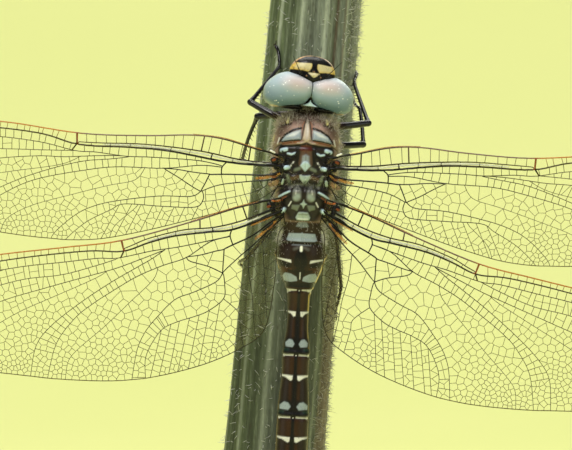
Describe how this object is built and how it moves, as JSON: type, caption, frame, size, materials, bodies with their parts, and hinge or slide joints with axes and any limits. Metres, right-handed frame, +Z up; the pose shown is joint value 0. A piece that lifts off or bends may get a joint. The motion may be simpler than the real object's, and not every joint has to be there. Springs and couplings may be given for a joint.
{
  "type": "dragonfly display model",
  "caption": "Life-size hawker dragonfly with spread net-veined wings, clinging head up to a cut ribbed stem on a round display stand.",
  "frame": {"origin": "centre of the stand's flat underside, on the floor", "axes": "+Z up, towards the insect's head; -Y the way its back faces; +X its right side"},
  "size_m": [0.0925, 0.072, 0.0925],
  "materials": {
    "skin": "satin brown and black shell with pale blue and cream marks",
    "face": "satin cream yellow shell with a black T",
    "eye": "glossy pale grey-teal with a pinkish bloom",
    "leg": "glossy black shell, red-brown at the hips",
    "wing": "clear film with black and amber veins",
    "stem": "matt ribbed plant stem, grey-green to brown",
    "stand_wood": "dark stained, satin varnish",
    "stand_metal": "brushed"
  },
  "bodies": {
    "root": {"head": "skin", "vertex": "skin", "frons": "face", "clypeus": "face", "labrum": "face", "labium": "face", "eye_left": "eye", "eye_right": "eye", "antenna_left": "leg", "antenna_right": "leg", "neck": "skin", "prothorax": "skin", "thorax": "skin", "abdomen_1": "skin", "abdomen_2": "skin", "abdomen_3": "skin", "abdomen_4": "skin", "abdomen_5": "skin", "abdomen_6": "skin", "abdomen_7": "skin", "abdomen_8": "skin", "abdomen_9": "skin", "abdomen_10": "skin", "cercus_left": "leg", "cercus_right": "leg", "epiproct": "leg", "forewing_left": "wing", "forewing_right": "wing", "hindwing_left": "wing", "hindwing_right": "wing", "femur_front_left": "leg", "femur_front_right": "leg", "femur_middle_left": "leg", "femur_middle_right": "leg", "femur_hind_left": "leg", "femur_hind_right": "leg", "tibia_front_left": "leg", "tibia_front_right": "leg", "tibia_middle_left": "leg", "tibia_middle_right": "leg", "tibia_hind_left": "leg", "tibia_hind_right": "leg", "tarsus_front_left": "leg", "tarsus_front_right": "leg", "tarsus_middle_left": "leg", "tarsus_middle_right": "leg", "tarsus_hind_left": "leg", "tarsus_hind_right": "leg", "perch_stem": "stem", "stand_base": "stand_wood", "stand_rod": "stand_metal"}
  },
  "joints": []
}
